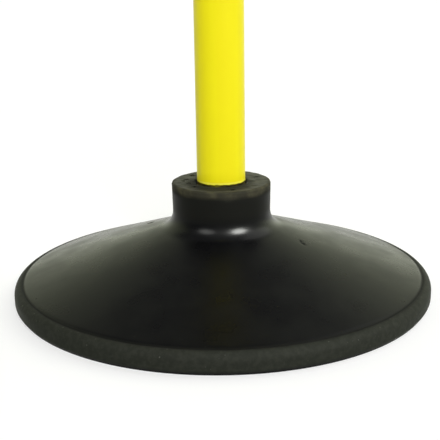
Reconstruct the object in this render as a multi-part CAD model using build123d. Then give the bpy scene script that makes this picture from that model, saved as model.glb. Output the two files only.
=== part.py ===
from build123d import *
import os

# A slalom marker: a plastic pole standing loose in the socket of a moulded rubber base.
# Millimetres, +Z up. The origin is on the floor, under the middle of the base.

# Pole
pole_diameter = 25.0
pole_wall = 2.0
pole_length = 1000.0        # over the foot plug and the top cap

# Plugs pushed into the two ends of the pole
plug_inset = 0.3            # a head keeps this far inside the outside of the tube
stem_clearance = 0.05       # between a stem and the bore that it grips
stem_length = 22.0
stem_wall = 1.6
stem_lead_in = 0.8          # chamfer at a stem's end
cap_head_height = 8.0
cap_head_chamfer = 2.0
foot_head_height = 3.5
foot_head_chamfer = 1.0

# Outside of the base
base_diameter = 217.4
base_height = 59.4
rim_width = 4.4             # from the crease, where the sloping top ends, out to the widest place
rim_height = 11.0           # of the crease above the floor
rim_fall = 1.1              # from the crease down to where the rim's round would have its corner
foot_inset = 1.7            # how far the rim turns under at the floor
foot_rise = 2.3             # how high up that begins
neck_height = 37.4          # where the sloping top would meet the collar without the neck's round
neck_round = 8.0
collar_diameter = 51.2
collar_waist = 0.4          # how far the collar draws in, from its top down to the neck
collar_edge_round = 1.0

# Socket and underside of the base
socket_clearance = 0.6      # all round the pole, so that it drops in and lifts out by hand
socket_floor = 10.0         # rubber left under the pole's foot
socket_mouth_chamfer = 0.6
foot_ring_width = 20.0
dish_depth = 2.0
dish_draft = 3.0            # how far the dish narrows over its depth

# Sizes that follow from these
pole_radius = pole_diameter / 2
bore_radius = pole_radius - pole_wall
head_radius = pole_radius - plug_inset
socket_radius = pole_radius + socket_clearance
collar_radius = collar_diameter / 2
base_radius = base_diameter / 2
rim_round = 1.1 * rim_width        # takes up nearly the whole width of the rim
dish_radius = base_radius - foot_ring_width
tube_foot = socket_floor + foot_head_height
tube_top = socket_floor + pole_length - cap_head_height


def turned(corners):
    """Turn a closed outline of (radius, height, corner round) about the part's upright axis."""
    points = [(radius, height) for radius, height, corner_round in corners]
    rounds = [corner_round for radius, height, corner_round in corners]
    outline = FilletPolyline(*points, radius=rounds, close=True)
    return revolve(Plane.XZ * make_face(outline), Axis.Z)


def rubber_base():
    """Solid moulding: rounded rim, sloping top, neck and collar round a blind socket, dished underneath."""
    return turned([
        (0, socket_floor, 0),
        (socket_radius, socket_floor, 0),
        (socket_radius, base_height - socket_mouth_chamfer, 0),
        (socket_radius + socket_mouth_chamfer, base_height, 0),
        (collar_radius, base_height, collar_edge_round),
        (collar_radius - collar_waist, neck_height, neck_round),
        (base_radius - rim_width, rim_height, 0),
        (base_radius, rim_height - rim_fall, rim_round),
        (base_radius, foot_rise, 0),
        (base_radius - foot_inset, 0, 0),
        (dish_radius, 0, 0),
        (dish_radius - dish_draft, dish_depth, 0),
        (0, dish_depth, 0),
    ])


def pole_tube():
    """Straight extruded tube, open at both ends until the plugs go in."""
    return turned([
        (bore_radius, tube_foot, 0),
        (pole_radius, tube_foot, 0),
        (pole_radius, tube_top, 0),
        (bore_radius, tube_top, 0),
    ])


def push_in_plug(seat, outward, head_height, head_chamfer):
    """Plug for the tube's end at height seat: a chamfered head, and a hollow stem inside the bore."""
    stem_radius = bore_radius - stem_clearance
    stem_bore = stem_radius - stem_wall
    stem_end = seat - outward * stem_length
    head_end = seat + outward * head_height
    return turned([
        (0, head_end, 0),
        (head_radius - head_chamfer, head_end, 0),
        (head_radius, head_end - outward * head_chamfer, 0),
        (head_radius, seat, 0),
        (stem_radius, seat, 0),
        (stem_radius, stem_end + outward * stem_lead_in, 0),
        (stem_radius - stem_lead_in, stem_end, 0),
        (stem_bore, stem_end, 0),
        (stem_bore, seat, 0),
        (0, seat, 0),
    ])


def pole_top_cap():
    """Cap that covers the cut edge of the tube, so that nobody is hurt on it."""
    return push_in_plug(tube_top, 1, cap_head_height, cap_head_chamfer)


def pole_foot_plug():
    """Plug that finds the socket and takes the wear on its floor."""
    return push_in_plug(tube_foot, -1, foot_head_height, foot_head_chamfer)


nodes = {
    "rubber_base": rubber_base(),
    "pole_tube": pole_tube(),
    "pole_top_cap": pole_top_cap(),
    "pole_foot_plug": pole_foot_plug(),
}

os.makedirs("parts", exist_ok=True)
for name, solid in nodes.items():
    export_step(solid, f"parts/{name}.step")
    print(name, round(solid.volume / 1000, 1), "cm3")
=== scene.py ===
# %% [markdown]
# # A slalom marker pole in its rubber base
# A yellow plastic pole stands loose in the socket of a heavy, round, black rubber base. It marks a slalom
# course on a gym floor or a pitch. The CAD model of it is loaded first, and stays where it is: all that
# follows is built round it, in metres, with the floor at z = 0 and the pole along z.

# %% Load the frame
import math

import bmesh
import bpy
from mathutils import Matrix, Vector, noise


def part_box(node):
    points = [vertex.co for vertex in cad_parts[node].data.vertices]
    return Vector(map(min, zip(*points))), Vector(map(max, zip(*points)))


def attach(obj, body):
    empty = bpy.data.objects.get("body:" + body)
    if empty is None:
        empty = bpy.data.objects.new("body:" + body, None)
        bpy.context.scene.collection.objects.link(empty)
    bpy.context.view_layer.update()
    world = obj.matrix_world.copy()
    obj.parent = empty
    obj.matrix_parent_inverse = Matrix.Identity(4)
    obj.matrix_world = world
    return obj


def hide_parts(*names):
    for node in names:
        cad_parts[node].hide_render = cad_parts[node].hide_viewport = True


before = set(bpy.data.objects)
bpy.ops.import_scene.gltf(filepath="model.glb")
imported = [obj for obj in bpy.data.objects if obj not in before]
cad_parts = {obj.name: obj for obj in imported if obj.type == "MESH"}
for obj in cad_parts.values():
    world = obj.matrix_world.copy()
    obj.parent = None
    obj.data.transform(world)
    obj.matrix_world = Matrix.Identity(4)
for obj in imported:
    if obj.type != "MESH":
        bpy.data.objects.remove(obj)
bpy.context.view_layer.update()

print("CAD nodes:", sorted(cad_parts))

# %% [markdown]
# ## The camera
# The photograph was taken from about half a metre away and a little above, with the pole running out of the
# top of the picture. A camera can be placed by eye, but the outline of the base fixes it better: the width
# of its ellipse gives the distance, and the height of its ellipse gives the downward angle. A lens of about
# 77 mm on a full frame has the same perspective. The base lies a fraction of a degree askew in the picture,
# so the camera is rolled as much.

# %% Camera
MM = 0.001
picture_width = 440                   # pixels, and as many high
focal_length = 940                    # in the same pixels
sensor_width = 36.0                   # of a full-frame camera, in millimetres
aim = Vector((-0.9, 0, 38.2)) * MM    # the point in the middle of the picture
camera_distance = 492.5 * MM
camera_pitch = math.radians(16.02)
camera_roll = math.radians(-0.85)

camera_data = bpy.data.cameras.new("photo_camera")
camera_data.sensor_width = sensor_width
camera_data.lens = sensor_width * focal_length / picture_width
camera = bpy.data.objects.new("photo_camera", camera_data)
bpy.context.scene.collection.objects.link(camera)
bpy.context.scene.camera = camera
towards_camera = Vector((0, -math.cos(camera_pitch), math.sin(camera_pitch)))
camera.matrix_world = (
    Matrix.Translation(aim + towards_camera * camera_distance)
    @ Matrix.Rotation(math.pi / 2 - camera_pitch, 4, "X")
    @ Matrix.Rotation(camera_roll, 4, "Z")
)
bpy.context.scene.view_settings.view_transform = "Standard"
print("camera", [round(x, 3) for x in camera.matrix_world.translation], "lens", round(camera_data.lens, 1))

# %% [markdown]
# ## Wiring materials
# Every finish here is a small network of nodes. They could be wired by hand in the shader editor, but code
# shows each value and can be run again. A few helpers keep the wiring readable. The first adds a node and
# fills in its sockets: a value that is itself a socket is joined, and any other value is set. The others
# stand for what comes again and again.

# %% Helpers that add nodes
def add_node(tree, kind, inputs=(), **settings):
    """Add a node, set its own settings, and fill or join the inputs given as {socket: value}."""
    node = tree.nodes.new(kind)
    for setting, value in settings.items():
        setattr(node, setting, value)
    for socket, value in dict(inputs).items():
        if isinstance(value, bpy.types.NodeSocket):
            tree.links.new(value, node.inputs[socket])
        else:
            node.inputs[socket].default_value = value
    return node


def new_material(name):
    """An empty node material, with its tree and the socket that its surface goes to."""
    material = bpy.data.materials.new(name)
    material.use_nodes = True
    material.node_tree.nodes.clear()
    output = material.node_tree.nodes.new("ShaderNodeOutputMaterial")
    return material, material.node_tree, output.inputs["Surface"]


def calculate(tree, operation, first, second):
    """Join two numbers by a Math node, such as ADD, MULTIPLY or MAXIMUM."""
    return add_node(tree, "ShaderNodeMath", {0: first, 1: second}, operation=operation).outputs[0]


print("helpers that add nodes are ready")

# %% Helpers that mix and map
def ramp(tree, value, low, high, to_low=0.0, to_high=1.0):
    """Map value smoothly from the range low..high to the range to_low..to_high."""
    node = add_node(
        tree, "ShaderNodeMapRange",
        {"Value": value, "From Min": low, "From Max": high, "To Min": to_low, "To Max": to_high},
        interpolation_type="SMOOTHSTEP",
    )
    return node.outputs["Result"]


def mix_colour(tree, share, first, second):
    """Go from the first colour to the second by share; the node keeps colours in its sockets 6 and 7."""
    node = add_node(tree, "ShaderNodeMix", {0: share, 6: first, 7: second}, data_type="RGBA")
    return node.outputs[2]


def mix_value(tree, share, first, second):
    """Go from the first number to the second by share; the node keeps numbers in its sockets 2 and 3."""
    node = add_node(tree, "ShaderNodeMix", {0: share, 2: first, 3: second}, data_type="FLOAT")
    return node.outputs[0]


print("helpers that mix and map are ready")

# %% Helpers for patterns
def grain(tree, place, feature, detail):
    """Noise from 0 to 1 whose spots are about feature metres across."""
    node = add_node(tree, "ShaderNodeTexNoise", {"Vector": place, "Scale": 1 / feature, "Detail": detail})
    return node.outputs["Fac"]


def spots(tree, place, feature, detail, low, high):
    """Spots of that noise: 0 where it is under low, and 1 where it is over high."""
    return ramp(tree, grain(tree, place, feature, detail), low, high)


def stretched(tree, place, scale):
    """A place whose pattern is drawn out along each axis with a scale under 1."""
    return add_node(tree, "ShaderNodeMapping", {"Vector": place, "Scale": scale}).outputs[0]


print("helpers for patterns are ready")

# %% [markdown]
# ## Floor
# The picture has a white ground with a faint shadow close to the base. A white floor in plain light renders
# as grey, so the floor gives off a little light of its own, but only towards the camera, in reflections and
# through clear things. More lamps would do it too, but they would bleach the object. The shadow stays,
# because the rest of the floor's brightness still comes from the lamps.

# %% Floor
floor_half = 100.0
floor_colour = (0.5, 0.5, 0.5, 1)
floor_glow = 0.545

floor_mesh = bpy.data.meshes.new("floor")
floor_corners = [
    (-floor_half, -floor_half, 0),
    (floor_half, -floor_half, 0),
    (floor_half, floor_half, 0),
    (-floor_half, floor_half, 0),
]
floor_mesh.from_pydata(floor_corners, [], [(0, 1, 2, 3)])
floor = bpy.data.objects.new("floor", floor_mesh)
bpy.context.scene.collection.objects.link(floor)
print("floor is", 2 * floor_half, "m square")

# %% Floor paint
floor_paint, tree, surface = new_material("floor_paint")
path = add_node(tree, "ShaderNodeLightPath")
seen = path.outputs["Is Camera Ray"]
for ray in ("Is Glossy Ray", "Is Transmission Ray"):
    seen = calculate(tree, "MAXIMUM", seen, path.outputs[ray])
glow = add_node(tree, "ShaderNodeEmission", {"Strength": calculate(tree, "MULTIPLY", seen, floor_glow)})
matt_white = add_node(tree, "ShaderNodeBsdfDiffuse", {"Color": floor_colour})
both = add_node(tree, "ShaderNodeAddShader", {0: glow.outputs[0], 1: matt_white.outputs[0]})
tree.links.new(both.outputs[0], surface)
floor_mesh.materials.append(floor_paint)
print("floor glows with", floor_glow, "of white")

# %% [markdown]
# ## The room round it
# Black rubber shows little but what it mirrors, so the room matters more than the lamps. Low down its walls
# are white, and darker on the left. Behind the object glows a pale olive backdrop, a little brighter on the
# right: it is the grey gloss on the far flanks. High up the backdrop ends and the room is dim, because the
# front of the sloping top mirrors that part of it and looks almost black. Panels of light could stand there,
# but a world made of nodes does the same with nothing in the way. The camera itself sees plain white.

# %% Walls
white = (1, 1, 1, 1)
wall_top = (8, 18)                    # degrees above the horizon: white below, grey above
wall_white, room_grey = 0.8, 0.38
left_wall_share = 0.35                # how bright the wall on the left is, beside the others
left_fade = (-0.9, 0.1)               # sideways part of a direction: -1 is left, 1 is right


def fading_above(tree, upward, elevations, below, above):
    """A brightness that goes from one value to another between two elevations in degrees."""
    low, high = (math.sin(math.radians(angle)) for angle in elevations)
    return ramp(tree, upward, low, high, below, above)


world = bpy.data.worlds.new("studio")
world.use_nodes = True
tree = world.node_tree
tree.nodes.clear()
direction = add_node(tree, "ShaderNodeTexCoord").outputs["Generated"]
split = add_node(tree, "ShaderNodeSeparateXYZ", {0: direction})
sideways, forward, upward = split.outputs
walls = fading_above(tree, upward, wall_top, wall_white, room_grey)
walls = calculate(tree, "MULTIPLY", walls, ramp(tree, sideways, *left_fade, left_wall_share, 1.0))
wall_shader = add_node(tree, "ShaderNodeBackground", {"Color": white, "Strength": walls})
print("walls are white up to", wall_top[0], "degrees and grey from", wall_top[1])

# %% Backdrop
backdrop_top = (30, 48)               # degrees above the horizon: glowing below, dark above
backdrop_light = 0.95
backdrop_tint = (0.92, 1.0, 0.64, 1)
backdrop_fade = (-0.25, 0.35)         # forward part of a direction: -1 is the camera's side, 1 is behind
backdrop_sides = (0.88, 1.12)         # how bright it is on the left and on the right
side_fade = (-0.8, 0.8)

behind = ramp(tree, forward, *backdrop_fade)
behind = calculate(tree, "MULTIPLY", behind, ramp(tree, sideways, *side_fade, *backdrop_sides))
glowing = fading_above(tree, upward, backdrop_top, backdrop_light, 0.0)
backdrop = calculate(tree, "MULTIPLY", behind, glowing)
backdrop_shader = add_node(tree, "ShaderNodeBackground", {"Color": backdrop_tint, "Strength": backdrop})
print("backdrop glows up to", backdrop_top[0], "degrees and ends at", backdrop_top[1])

# %% Room and white ground
room = add_node(tree, "ShaderNodeAddShader", {0: wall_shader.outputs[0], 1: backdrop_shader.outputs[0]})
white_ground = add_node(tree, "ShaderNodeBackground", {"Color": white, "Strength": 1.0})
in_view = add_node(tree, "ShaderNodeLightPath").outputs["Is Camera Ray"]
shown = add_node(tree, "ShaderNodeMixShader", {0: in_view, 1: room.outputs[0], 2: white_ground.outputs[0]})
add_node(tree, "ShaderNodeOutputWorld", {"Surface": shown.outputs[0]})
bpy.context.scene.world = world
print("world has", len(tree.nodes), "nodes")

# %% [markdown]
# ## Windows and glints
# A sun lamp with a wide angle works as a soft window that lights the whole floor evenly, which an area lamp
# close by wouldn't. One window is in front, with no mirror image in the rubber. A weaker one is on the
# right, so the shadow falls to the left. The picture has just two small bright spots on the neck of the
# base, the right one brighter. They come from two more lamps, the glints, which show only as gloss.

# %% Lamps
def soft_window(name, azimuth, elevation, width, strength):
    """A wide sun lamp; azimuth is to the right of the camera, and all angles are in degrees."""
    lamp_data = bpy.data.lights.new(name, "SUN")
    lamp_data.angle = math.radians(width)
    lamp_data.energy = strength
    lamp = bpy.data.objects.new(name, lamp_data)
    bpy.context.scene.collection.objects.link(lamp)
    side, up = math.radians(azimuth), math.radians(elevation)
    towards = Vector((math.sin(side) * math.cos(up), -math.cos(side) * math.cos(up), math.sin(up)))
    lamp.rotation_euler = towards.to_track_quat("Z", "Y").to_euler()
    return lamp


front_window = soft_window("front_window", azimuth=9, elevation=30, width=30, strength=2.2)
front_window.visible_glossy = False
soft_window("side_window", azimuth=112, elevation=46, width=45, strength=0.7)
glints = [
    soft_window("right_glint", azimuth=43, elevation=40, width=27, strength=9.0),
    soft_window("left_glint", azimuth=-39, elevation=40, width=27, strength=1.2),
]
for glint in glints:
    glint.visible_diffuse = False
print("two windows, and", len(glints), "glints that show only as gloss")

# %% [markdown]
# ## Turned shapes
# All four pieces are round, as a lathe, a die or a round mould leaves them. Blender's Screw modifier could
# spin an outline too. A helper in mesh code is used instead, because it gives each stretch of the outline
# its own fineness, and because the rings are needed afterwards to press dents and grooves into the rubber.
# An outline is a list of corners: radius, height, how round the corner is, and the spacing of the points on
# the straight run that follows it.

# %% Outlines with rounded corners
arc_step = math.radians(8)


def corner_points(before, corner, after, round_size):
    """The corner itself if it is sharp, or the points of its arc."""
    if round_size == 0:
        return [corner]
    back = (before - corner).normalized()
    ahead = (after - corner).normalized()
    half_angle = back.angle(ahead) / 2
    reach = round_size / math.tan(half_angle)
    centre = corner + (back + ahead).normalized() * round_size / math.sin(half_angle)
    start = corner + back * reach - centre
    sweep = start.angle_signed(corner + ahead * reach - centre)
    steps = math.ceil(abs(sweep) / arc_step)
    return [centre + Matrix.Rotation(-sweep * step / steps, 2) @ start for step in range(steps + 1)]


def outline_through(corners, closed=False):
    """Points of an outline through corners of (radius, height, corner round, spacing after it)."""
    places = [Vector(corner[:2]) for corner in corners]
    count = len(corners)
    arcs = []
    for index, corner in enumerate(corners):
        after = places[(index + 1) % count]
        arcs.append(corner_points(places[index - 1], places[index], after, corner[2]))
    outline = []
    for index, arc in enumerate(arcs):
        outline += arc
        if index == count - 1 and not closed:
            break
        run_end = arcs[(index + 1) % count][0]
        spacing = corners[index][3]
        steps = math.ceil((run_end - arc[-1]).length / spacing)
        outline += [arc[-1].lerp(run_end, step / steps) for step in range(1, steps)]
    return outline


square_corner = [Vector((0, 0)), Vector((5, 0)), Vector((5, 5))]
print("a square corner with a round of 1 has", len(corner_points(*square_corner, 1.0)), "points")

# %% Turning an outline
on_axis = 1e-6


def turned(name, outline, segments, closed=False):
    """A smooth mesh of an outline turned about the upright axis; a point on the axis is one vertex."""
    shape = bmesh.new()
    angles = [2 * math.pi * k / segments for k in range(segments)]
    directions = [(math.cos(angle), math.sin(angle)) for angle in angles]
    rings = []
    for radius, height in outline:
        if radius < on_axis:
            rings.append([shape.verts.new((0, 0, height))] * segments)
        else:
            rings.append([shape.verts.new((radius * x, radius * y, height)) for x, y in directions])
    following = rings[1:] + rings[:1] if closed else rings[1:]
    for ring, next_ring in zip(rings, following):
        for k in range(segments):
            corners = (ring[k], ring[k - 1], next_ring[k - 1], next_ring[k])
            shape.faces.new(tuple(dict.fromkeys(corners)))
    bmesh.ops.recalc_face_normals(shape, faces=shape.faces)
    for face in shape.faces:
        face.smooth = True
    mesh = bpy.data.meshes.new(name)
    shape.to_mesh(mesh)
    shape.free()
    piece = bpy.data.objects.new(name, mesh)
    bpy.context.scene.collection.objects.link(piece)
    print(name, "has", len(mesh.vertices), "vertices")
    return piece


print("a point closer to the axis than", on_axis, "m becomes one vertex")

# %% [markdown]
# ## Rubber base
# The base is one solid moulding of black rubber: a rounded rim that turns under at the floor, a crease, a
# straight sloping top, a rounded neck and a collar round the socket. Its outside size comes from the frame,
# and the rest are the sizes of the moulding. The mould left soft edges, so most corners of the outline are
# arcs. A subdivision surface would round them too, but not to a chosen size. Points lie closest on the
# collar's end, where the rubber is pitted, and on the rim, and furthest apart where nothing shows.

# %% Sizes of the base
base_radius, base_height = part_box("rubber_base")[1].x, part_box("rubber_base")[1].z
pole_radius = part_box("pole_tube")[1].x
socket_clearance = 0.6 * MM
socket_radius = pole_radius + socket_clearance
socket_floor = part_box("pole_foot_plug")[0].z
collar_radius = 25.6 * MM
collar_waist = 0.4 * MM               # how far the collar draws in, down to the neck
neck_height = 37.4 * MM
rim_width = 4.4 * MM
crease_radius = base_radius - rim_width
crease_height = 11.0 * MM
rim_fall = 1.1 * MM                   # how much lower the rim's corner is than the crease
foot_inset = 1.7 * MM                 # how far the rim turns under at the floor
foot_rise = 2.3 * MM                  # how high up that begins
foot_ring_width = 20 * MM
dish_radius = base_radius - foot_ring_width
dish_depth = 2.0 * MM
dish_draft = 3.0 * MM
print("base is", round(2 * base_radius / MM, 1), "mm across and", round(base_height / MM, 1), "mm high")

# %% Base mesh
coarse, medium, fine = 3.0 * MM, 1.2 * MM, 0.4 * MM
socket_floor_round = 0.5 * MM
mouth_round = 1.6 * MM
collar_edge_round = 1.0 * MM
neck_round = 10.0 * MM
rim_round = 1.1 * rim_width
foot_round = 2.0 * MM
ground_round = 0.3 * MM
dish_round = 1.0 * MM

base_outline = outline_through([
    (0, socket_floor, 0, coarse),
    (socket_radius, socket_floor, socket_floor_round, coarse),
    (socket_radius, base_height, mouth_round, fine),
    (collar_radius, base_height, collar_edge_round, medium),
    (collar_radius - collar_waist, neck_height, neck_round, medium),
    (crease_radius, crease_height, 0, fine),
    (base_radius, crease_height - rim_fall, rim_round, fine),
    (base_radius, foot_rise, foot_round, fine),
    (base_radius - foot_inset, 0, ground_round, coarse),
    (dish_radius, 0, dish_round, medium),
    (dish_radius - dish_draft, dish_depth, dish_round, coarse),
    (0, dish_depth, 0, coarse),
])
base = turned("base_moulding", base_outline, segments=384)

# %% [markdown]
# ## Marks that the mould and the years left
# Rubber never comes out as true as the mould. The sloping top has slow waves, less than a tenth of a
# millimetre high, which break up its reflections, and a few nicks. A fine groove runs along the crease,
# where the two halves of the mould met. The end of the collar was trimmed by hand, so it is lumpy, with a
# few torn pits. A bump in the material would look alike from afar. These are pressed into the mesh instead,
# so that the shape is there in any light.

# %% Pressing marks into a mesh
def press(piece, height_of):
    """Move each vertex along its normal by height_of(its place), in metres."""
    places = [vertex.co.copy() for vertex in piece.data.vertices]
    normals = [vertex.normal.copy() for vertex in piece.data.vertices]
    for vertex, place, normal in zip(piece.data.vertices, places, normals):
        vertex.co = place + normal * height_of(place)
    piece.data.update()


def smooth_step(low, high, value):
    """0 below low, 1 above high, and an S-curve between them."""
    share = min(max((value - low) / (high - low), 0.0), 1.0)
    return share * share * (3 - 2 * share)


def from_axis(place):
    """How far a place is from the part's upright axis."""
    return math.hypot(place.x, place.y)


def from_crease(place):
    """How far a place is from the crease between the sloping top and the rim."""
    return math.hypot(from_axis(place) - crease_radius, place.z - crease_height)


print("halfway up, the S-curve is at", smooth_step(0, 1, 0.5))

# %% Torn pits and nicks
pits = [
    # x, y, radius and depth, in millimetres
    (-18.0, 3.6, 1.2, 0.60),
    (-19.6, 0.2, 0.9, 0.50),
    (-16.6, -4.6, 1.1, 0.60),
    (-15.2, 12.6, 1.2, 0.60),
    (-13.4, -12.2, 0.7, 0.30),
    (18.6, 7.4, 1.3, 0.25),
    (6.0, -19.6, 0.9, 0.25),
    (-4.2, 19.4, 0.8, 0.35),
]
nicks = [
    # in the sloping top, as above
    (40.2, -16.8, 0.9, 0.15),
    (41.4, -19.4, 1.0, 0.20),
    (-39.0, 23.0, 1.6, 0.40),
]
raggedness, ragged_length = 0.7, 0.9 * MM


def pit_share(place, mark):
    """1 in the middle of a torn mark, 0 away from it, with a ragged edge."""
    x, y, size = mark[:3]
    away = math.hypot(place.x - x * MM, place.y - y * MM) / (size * MM)
    away *= 1 + raggedness * noise.noise(place / ragged_length)
    return math.exp(-away ** 4)


def torn_depth(place, marks):
    """How deep the rubber is torn at a place, by the deepest of the marks there."""
    return max(mark[3] * MM * pit_share(place, mark) for mark in marks)


print("pits in the collar's end:", len(pits), "and nicks in the sloping top:", len(nicks))

# %% Waves, groove and lumps
wave_length, wave_height = 30 * MM, 0.08 * MM
slope_inside = (28 * MM, 40 * MM)     # radii over which the sloping top begins, outside the neck
slope_foot = (8 * MM, 12 * MM)        # heights over which it ends, at the rim
groove_width, groove_depth = 0.8 * MM, 0.32 * MM
lump_length, lump_height = 3.2 * MM, 0.16 * MM
lumps_from = (base_height - 1.6 * MM, base_height - 0.6 * MM)


def mould_marks(place):
    """How far the rubber stands above its true outline at a place."""
    on_slope = smooth_step(*slope_inside, from_axis(place)) * smooth_step(*slope_foot, place.z)
    on_end = smooth_step(*lumps_from, place.z)
    height = on_slope * wave_height * noise.noise(place / wave_length)
    height -= groove_depth * math.exp(-(from_crease(place) / groove_width) ** 2)
    height += on_end * lump_height * noise.noise(place / lump_length)
    return height - on_end * torn_depth(place, pits) - on_slope * torn_depth(place, nicks)


press(base, mould_marks)
print("highest place of the pressed base:", round(max(v.co.z for v in base.data.vertices) / MM, 2), "mm")

# %% [markdown]
# ## Finish zones
# One moulding has many finishes. The sloping top is satin, and the mould was polished at the neck. The
# collar's wall is duller, its edge is worn, and its end is rough, with painted shade of the pole in front of
# the mouth. Dust lies on the rim, and painted shade lies at its foot, in the crease, in the pits and in the
# mouth of the socket. Separate materials would meet in hard lines. So each zone is a share from 0 to 1,
# worked out from the place and stored on the vertices, and one material fades from zone to zone.

# %% Zones of the rim and the crease
rim_start = (crease_radius - 0.6 * MM, crease_radius + 1.8 * MM)
# heights over which the painted shade at the foot of the rim gives way to its dust
shaded_foot = (0.6 * MM, 2.6 * MM)
matt_start = (crease_radius - 1.0 * MM, crease_radius - 0.2 * MM)
underside_top = (2 * MM, 3 * MM)
# painted shade in the crease groove: its base strength, how much it changes, and the size of its patches
crease_shade_base, crease_shade_change, crease_shade_length = 0.55, 0.9, 16 * MM


def rim_dust_and_foot_shade(place):
    """1 on the dusty rim, 0 inside the crease, and 0 at the foot of the rim, which stays black as painted
    shade.
    """
    return smooth_step(*rim_start, from_axis(place)) * smooth_step(*shaded_foot, place.z)


def matt_share(place):
    """1 on the rim and the underside, 0 inside the crease."""
    return max(smooth_step(*matt_start, from_axis(place)), 1 - smooth_step(*underside_top, place.z))


def crease_shade_mask(place):
    """Painted shade in the groove along the crease: up to 1, weaker here and there."""
    uneven = max(0.0, crease_shade_base + crease_shade_change * noise.noise(place / crease_shade_length))
    return min(1.0, uneven * math.exp(-(from_crease(place) / groove_width) ** 2))


print("rim is", rim_width / MM, "mm wide")

# %% Zones of the neck and the collar's wall
neck_polish = 0.22
polish_top = (neck_height + 1 * MM, neck_height + 6 * MM)
polish_reach = (27 * MM, 33 * MM)
collar_foot = (neck_height + 4 * MM, neck_height + 10 * MM)
edge_start = (collar_radius - 1.8 * MM, collar_radius - 0.6 * MM)
edge_foot = (base_height - 5.2 * MM, base_height - 2.8 * MM)


def neck_gloss(place):
    """How polished the neck is: most in its round, fading out on the sloping top and up the collar."""
    below_collar = 1 - smooth_step(*polish_top, place.z)
    return neck_polish * below_collar * (1 - smooth_step(*polish_reach, from_axis(place)))


def collar_share(place):
    """1 on the collar's upright wall, 0 on the neck."""
    return smooth_step(*collar_foot, place.z)


def edge_share(place):
    """1 on the worn round between the collar's end and its wall."""
    return smooth_step(*edge_start, from_axis(place)) * smooth_step(*edge_foot, place.z)


print("collar is", round((base_height - neck_height) / MM, 1), "mm high")

# %% Zones of the collar's end and the socket
end_line = base_height - 3.2 * MM     # where the finish of the end goes over into that of the wall
line_waver, waver_length = 0.8 * MM, 7 * MM
line_fade = 1.3 * MM
# painted shade of the pole on the collar's end: its middle, in front of the mouth, and its reach
end_shade_middle = (-1.0 * MM, -6.0 * MM)
end_shade_reach = (13 * MM, 20 * MM)
# how far the painted shade of the socket reaches out over its mouth
socket_shade_reach = (socket_radius + 0.5 * MM, socket_radius + 1.1 * MM)
torn_from = (crease_height, crease_height + 2 * MM)


def end_share(place):
    """1 on the collar's end face, 0 below its rounded edge."""
    ragged_line = end_line + line_waver * noise.noise(place / waver_length)
    return smooth_step(ragged_line - line_fade, ragged_line + line_fade, place.z)


def end_shade_share(place):
    """1 round the mouth, most of all in front: painted shade of the pole, dark and rougher."""
    return 1 - smooth_step(*end_shade_reach, math.hypot(place.x - end_shade_middle[0], place.y - end_shade_middle[1]))


def socket_shade_share(place):
    """1 inside the socket and on the inner part of its mouth's round, black there as painted shade; 0
    outside it.
    """
    return 1 - smooth_step(*socket_shade_reach, from_axis(place))


def torn_shade_share(place):
    """1 in the middle of a pit or a nick, which painted shade darkens."""
    marks = nicks if place.z < neck_height else pits
    return smooth_step(*torn_from, place.z) * max(pit_share(place, mark) for mark in marks)


print("socket is", round(2 * socket_radius / MM, 1), "mm wide")

# %% Store the zones
def paint(piece, mask, share_at):
    """Store share_at(place) on each vertex, for a material to read under the mask's name."""
    attribute = piece.data.attributes.new(mask, "FLOAT", "POINT")
    attribute.data.foreach_set("value", [share_at(vertex.co) for vertex in piece.data.vertices])


base_zones = {
    "rim_dust_and_foot_shade": rim_dust_and_foot_shade,
    "matt": matt_share,
    "crease": crease_shade_mask,
    "collar_end": end_share,
    "neck": neck_gloss,
    "collar": collar_share,
    "pits": torn_shade_share,
    "worn_edge": edge_share,
    "end_pole_shade": end_shade_share,
    "socket": socket_shade_share,
}
for mask, share_at in base_zones.items():
    paint(base, mask, share_at)
print("zones of the base:", ", ".join(base_zones))

# %% [markdown]
# ## Black rubber
# Filled rubber is a very dark grey, a little olive where it has gathered dust. The satin top mirrors the
# room when it is seen at a flat angle, and the matt zones scatter it. A single dark colour would look like
# paint, so each zone has its own colours and roughness, with patches, blotches or specks of noise. A fine
# grain is the bump, stronger on the matt zones. A little sheen is the dust on the surface, and a clear coat
# over the neck alone is its polish.

# %% Rubber colours
rubber_black = (0.0030, 0.0030, 0.0036, 1)
rubber_bloom = (0.0043, 0.0045, 0.0049, 1)
rubber_scuff = (0.014, 0.014, 0.012, 1)
rim_grey = (0.0170, 0.0188, 0.0143, 1)
rim_dust = (0.0240, 0.0262, 0.0200, 1)
grit = (0.075, 0.078, 0.065, 1)
# painted shade: the black of the crease groove and of the pits and nicks
painted_shade_black = (0.0015, 0.0015, 0.0012, 1)
collar_black = (0.0075, 0.0077, 0.0064, 1)
end_grey = (0.026, 0.026, 0.0188, 1)
end_dust = (0.046, 0.0455, 0.0333, 1)
# painted shade of the pole on the collar's end, in front of the mouth
end_shaded = (0.0070, 0.0066, 0.0040, 1)
edge_dark = (0.035, 0.034, 0.023, 1)
edge_brown = (0.078, 0.072, 0.042, 1)
print("the sloping top reflects", rubber_black[0], "of red light, and grit", grit[0])

# %% Rubber patterns
rubber, tree, surface = new_material("black_rubber")
zone = {
    mask: add_node(tree, "ShaderNodeAttribute", attribute_name=mask).outputs["Fac"]
    for mask in base_zones
}
place = add_node(tree, "ShaderNodeTexCoord").outputs["Object"]
across = stretched(tree, place, (0.15, 0.6, 1))
patches = spots(tree, place, feature=17 * MM, detail=3.0, low=0.25, high=0.75)
scuffs = spots(tree, across, feature=0.7 * MM, detail=2.0, low=0.72, high=0.82)
mottle = spots(tree, place, feature=2.2 * MM, detail=5.0, low=0.35, high=0.7)
specks = spots(tree, place, feature=1.4 * MM, detail=1.0, low=0.74, high=0.80)
blotches = spots(tree, place, feature=5 * MM, detail=4.0, low=0.38, high=0.64)
edge_wear = spots(tree, place, feature=8 * MM, detail=3.0, low=0.42, high=0.75)
fine_grain = grain(tree, place, feature=0.5 * MM, detail=2.0)
print("zones that the rubber reads:", len(zone))

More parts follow.
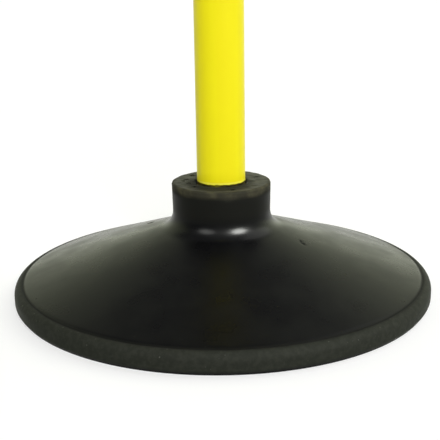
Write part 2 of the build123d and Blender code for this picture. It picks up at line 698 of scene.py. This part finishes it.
# %% Rubber colour, zone by zone
top_colour = mix_colour(tree, patches, rubber_black, rubber_bloom)
top_colour = mix_colour(tree, zone["collar"], top_colour, collar_black)
top_colour = mix_colour(tree, scuffs, top_colour, rubber_scuff)
rim_colour = mix_colour(tree, mottle, rim_grey, rim_dust)
rim_colour = mix_colour(tree, specks, rim_colour, grit)
end_colour = mix_colour(tree, blotches, end_grey, end_dust)
# painted shade in front of the mouth
end_colour = mix_colour(tree, zone["end_pole_shade"], end_colour, end_shaded)
edge_colour = mix_colour(tree, edge_wear, edge_dark, edge_brown)
end_colour = mix_colour(tree, zone["worn_edge"], end_colour, edge_colour)

# dust on the rim, with painted shade left black at its foot
colour = mix_colour(tree, zone["rim_dust_and_foot_shade"], top_colour, rim_colour)
# painted shade darkens the crease groove
colour = mix_colour(tree, zone["crease"], colour, painted_shade_black)
colour = mix_colour(tree, zone["collar_end"], colour, end_colour)
# painted shade darkens the pits and the nicks
colour = mix_colour(tree, zone["pits"], colour, painted_shade_black)
# painted shade: the socket and the inner part of its mouth stay black
colour = mix_colour(tree, zone["socket"], colour, rubber_black)
print("rubber has", len(tree.nodes), "nodes for its colour")

# %% Rubber roughness and grain
top_rough = (0.25, 0.37)              # from patch to patch
collar_rough = 0.48
matt_rough = 0.74
end_rough = (0.58, 0.85)              # away from the mouth, and in the painted shade in front of it
worn_rough = 0.9
grain_strength = (0.04, 0.35)         # on the satin zones and on the matt ones
grain_height = 0.2 * MM

rough = mix_value(tree, patches, *top_rough)
rough = mix_value(tree, zone["collar"], rough, collar_rough)
rough = mix_value(tree, zone["matt"], rough, matt_rough)
rough = mix_value(tree, zone["collar_end"], rough, mix_value(tree, zone["end_pole_shade"], *end_rough))
for mask in ("worn_edge", "pits"):
    rough = mix_value(tree, zone[mask], rough, worn_rough)
grainy = calculate(tree, "MAXIMUM", zone["matt"], zone["collar_end"])
bump = add_node(tree, "ShaderNodeBump", {
    "Height": fine_grain,
    "Strength": mix_value(tree, grainy, *grain_strength),
    "Distance": grain_height,
})
print("rubber is from", top_rough[0], "to", worn_rough, "rough")

# %% Rubber skin
skin = add_node(tree, "ShaderNodeBsdfPrincipled", {
    "Base Color": colour, "Roughness": rough, "Normal": bump.outputs[0], "IOR": 1.5,
    "Specular IOR Level": 0.07, "Specular Tint": (0.97, 1.0, 0.88, 1),
    "Coat Weight": zone["neck"], "Coat Roughness": 0.26, "Coat IOR": 1.5,
    "Sheen Weight": 0.07, "Sheen Roughness": 0.3, "Sheen Tint": (1, 1, 0.93, 1),
})
tree.links.new(skin.outputs[0], surface)
base.data.materials.append(rubber)
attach(base, "base")
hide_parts("rubber_base")
print("rubber has", len(tree.nodes), "nodes in all")

# %% [markdown]
# ## Pole
# The pole is a length of extruded yellow tube, sawn off at both ends. A cylinder with a Solidify modifier
# would be a tube too, but with knife-sharp rims. Here the outline is closed into a ring before it is turned:
# the outside, both sawn ends with their burrs taken off, and the bore.

# %% Pole mesh
tube_foot, tube_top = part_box("pole_tube")[0].z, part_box("pole_tube")[1].z
pole_wall = 2.0 * MM
bore_radius = pole_radius - pole_wall
burr_round = 0.3 * MM
ring_spacing = 25 * MM

pole_outline = outline_through([
    (bore_radius, tube_foot, burr_round, coarse),
    (pole_radius, tube_foot, burr_round, ring_spacing),
    (pole_radius, tube_top, burr_round, coarse),
    (bore_radius, tube_top, burr_round, ring_spacing),
], closed=True)
pole = turned("pole_extrusion", pole_outline, segments=160, closed=True)

# %% [markdown]
# ## Yellow plastic
# The colour is mixed into the plastic, so it goes right through and hardly varies. What varies is the
# surface: lines along the tube that the die left, small scuffs that are rougher and paler, and marks at the
# socket. Just above the mouth is a paler band, a painted highlight, and at the mouth a thin black ring, the
# painted shade of the gap round the pole. Below it are black streaks of rubber from lifting the pole out.
# All of it follows from height and noise, so nodes can make it without unwrapping the mesh.

# %% Yellow plastic patterns
lemon = (0.91, 0.81, 0.006, 1)
lemon_deep = (0.89, 0.78, 0.005, 1)
# the pale yellow of scuffs, and of the painted highlight just above the mouth
scuff_and_highlight_yellow = (0.93, 0.84, 0.07, 1)
along_tube = (1, 1, 0.02)

yellow, tree, surface = new_material("yellow_plastic")
place = add_node(tree, "ShaderNodeTexCoord").outputs["Object"]
height = add_node(tree, "ShaderNodeSeparateXYZ", {0: place}).outputs["Z"]
drawn = stretched(tree, place, along_tube)
die_lines = grain(tree, drawn, feature=0.7 * MM, detail=2.0)
shades = spots(tree, drawn, feature=5 * MM, detail=2.0, low=0.35, high=0.65)
scuffs = spots(tree, place, feature=4 * MM, detail=6.0, low=0.72, high=0.8)
print("die lines are drawn out", round(1 / along_tube[2]), "times along the tube")

# %% Painted highlight and shade at the mouth, and rubber streaks
# colour of the rubber streaks, and of the painted shade ring at the mouth
rubber_mark_and_shade = (0.016, 0.013, 0.006, 1)
# painted highlight: the pale band just above the mouth
highlight_low, highlight_high = base_height + 0.9 * MM, base_height + 1.3 * MM
# painted shade of the gap round the pole: a black ring at the mouth
shade_ring_low, shade_ring_top = base_height - 0.8 * MM, base_height + 0.45 * MM
shade_ring_waver = 0.3 * MM
ring_palest = 0.88                   # how black the ring is at its palest, and 1 is all black
streak_top = shade_ring_low - 1 * MM        # the streaks fade out from here up to the top of the ring
streak_most = 0.6                     # how black the blackest streak is


def band(tree, height, low, high, fade_below, fade_above):
    """1 between the heights low and high, fading out below and above."""
    above_low = ramp(tree, height, low - fade_below, low)
    below_high = ramp(tree, height, high, high + fade_above, to_low=1.0, to_high=0.0)
    return calculate(tree, "MULTIPLY", above_low, below_high)


# painted highlight just above the mouth
pale_highlight = band(tree, height, highlight_low, highlight_high, fade_below=0.3 * MM, fade_above=0.7 * MM)
waver = grain(tree, place, feature=3 * MM, detail=2.0)
waver = ramp(tree, waver, low=0.0, high=1.0, to_low=-shade_ring_waver, to_high=shade_ring_waver)
wavy_height = calculate(tree, "ADD", height, waver)
# painted shade: a black ring where the pole meets the mouth
ring = band(tree, wavy_height, shade_ring_low, shade_ring_top, fade_below=3.0 * MM, fade_above=0.35 * MM)
ring_unevenness = grain(tree, place, feature=6 * MM, detail=2.0)
ring_unevenness = ramp(tree, ring_unevenness, low=0.3, high=0.7, to_low=ring_palest)
ring = calculate(tree, "MULTIPLY", ring, ring_unevenness)
streaks = grain(tree, drawn, feature=3 * MM, detail=4.0)
streaks = ramp(tree, streaks, low=0.48, high=0.72, to_high=streak_most)
below_ring = ramp(tree, wavy_height, streak_top, shade_ring_top, to_low=1.0, to_high=0.0)
streaks = calculate(tree, "MULTIPLY", streaks, below_ring)
print("black ring is from", round(shade_ring_low / MM, 1), "to", round(shade_ring_top / MM, 1), "mm above the floor")

# %% Yellow plastic skin
glossy, worn_gloss = 0.36, 0.5
die_line_strength, die_line_height = 0.05, 0.1 * MM

# scuffs, and the painted highlight above the mouth
scuffs_and_highlight = calculate(tree, "MAXIMUM", scuffs, pale_highlight)
# the painted shade ring and the rubber streaks
shade_and_streaks = calculate(tree, "MAXIMUM", ring, streaks)
colour = mix_colour(tree, shades, lemon, lemon_deep)
colour = mix_colour(tree, scuffs_and_highlight, colour, scuff_and_highlight_yellow)
colour = mix_colour(tree, shade_and_streaks, colour, rubber_mark_and_shade)
bump = add_node(tree, "ShaderNodeBump", {
    "Height": die_lines, "Strength": die_line_strength, "Distance": die_line_height,
})
skin = add_node(tree, "ShaderNodeBsdfPrincipled", {
    "Base Color": colour, "Roughness": mix_value(tree, scuffs_and_highlight, glossy, worn_gloss),
    "Normal": bump.outputs[0], "IOR": 1.5, "Specular IOR Level": 0.15,
})
tree.links.new(skin.outputs[0], surface)
pole.data.materials.append(yellow)
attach(pole, "pole")
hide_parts("pole_tube")
print("yellow plastic has", len(tree.nodes), "nodes")

# %% [markdown]
# ## Plugs
# A moulded plug closes each end of the tube: a chamfered cap on top, and a flat foot below that takes the
# wear on the socket's floor. Each is a head that covers the sawn edge and a hollow stem that grips the bore.
# The cap has the small sunken dot where the plastic was shot into its mould. The two differ in their heads
# alone, so one function turns both, and each is given the corners of its own head.

# %% Plug shape
head_inset, stem_clearance, stem_wall = 0.3 * MM, 0.05 * MM, 1.6 * MM
head_radius = pole_radius - head_inset
stem_radius = bore_radius - stem_clearance
stem_bore = stem_radius - stem_wall
stem_lead_in = 0.8 * MM
plug_edge = 0.3 * MM


def plug(name, seat, stem_end, head):
    """A plug from its head's corners, its seat on the tube's end and the height of its stem's end."""
    inward = math.copysign(1.0, stem_end - seat)
    corners = head + [
        (head_radius, seat, plug_edge, coarse),
        (stem_radius, seat, 0, coarse),
        (stem_radius, stem_end - inward * stem_lead_in, plug_edge, coarse),
        (stem_radius - stem_lead_in, stem_end, plug_edge, coarse),
        (stem_bore, stem_end, plug_edge, coarse),
        (stem_bore, seat, plug_edge, coarse),
        (0, seat, 0, coarse),
    ]
    return turned(name, outline_through(corners), segments=128)


print("plug heads are", round(2 * head_radius / MM, 1), "mm wide")

# %% Cap and foot
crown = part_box("pole_top_cap")[1].z
cap_chamfer, cap_edge = 2.0 * MM, 0.6 * MM
gate_radius, gate_depth, gate_edge = 1.6 * MM, 0.35 * MM, 0.1 * MM
foot_chamfer = 1.0 * MM

cap = plug("cap_moulding", tube_top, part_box("pole_top_cap")[0].z, [
    (0, crown - gate_depth, 0, fine),
    (gate_radius, crown - gate_depth, gate_edge, fine),
    (gate_radius, crown, gate_edge, medium),
    (head_radius - cap_chamfer, crown, cap_edge, medium),
    (head_radius, crown - cap_chamfer, cap_edge, medium),
])
foot = plug("foot_moulding", tube_foot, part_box("pole_foot_plug")[1].z, [
    (0, socket_floor, 0, medium),
    (head_radius - foot_chamfer, socket_floor, plug_edge, medium),
    (head_radius, socket_floor + foot_chamfer, plug_edge, medium),
])

# %% [markdown]
# ## Moulded plastic for the plugs
# The cap is the same yellow with a finer, half matt skin. The foot is black and scuffed from standing on
# rubber and grit. Both came out of a mould with the same fine grain, so one function makes both skins, with
# the colours and the roughness as its arguments.

# %% Plug materials
foot_black = (0.025, 0.025, 0.025, 1)
foot_scuffed = (0.06, 0.06, 0.055, 1)
mould_grain, mould_grain_strength, mould_grain_height = 0.35 * MM, 0.15, 0.1 * MM


def moulded_plastic(name, body, worn_to, body_rough, scuff_rough):
    """A moulded skin with a fine spark-eroded grain, slightly worn in patches."""
    material, tree, surface = new_material(name)
    place = add_node(tree, "ShaderNodeTexCoord").outputs["Object"]
    wear = spots(tree, place, feature=3 * MM, detail=5.0, low=0.5, high=0.75)
    texture = grain(tree, place, feature=mould_grain, detail=1.0)
    bump = add_node(tree, "ShaderNodeBump", {
        "Height": texture, "Strength": mould_grain_strength, "Distance": mould_grain_height,
    })
    skin = add_node(tree, "ShaderNodeBsdfPrincipled", {
        "Base Color": mix_colour(tree, wear, body, worn_to),
        "Roughness": mix_value(tree, wear, body_rough, scuff_rough),
        "Normal": bump.outputs[0], "IOR": 1.5,
    })
    tree.links.new(skin.outputs[0], surface)
    return material


cap_skin = moulded_plastic("cap_skin", lemon_deep, scuff_and_highlight_yellow, body_rough=0.35, scuff_rough=0.5)
foot_skin = moulded_plastic("foot_skin", foot_black, foot_scuffed, body_rough=0.55, scuff_rough=0.75)
cap.data.materials.append(cap_skin)
foot.data.materials.append(foot_skin)
for piece, node, slot in ((cap, "pole_top_cap", "cap_plastic"), (foot, "pole_foot_plug", "plug_plastic")):
    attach(piece, "pole")
    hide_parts(node)
print("plugs are on the pole")
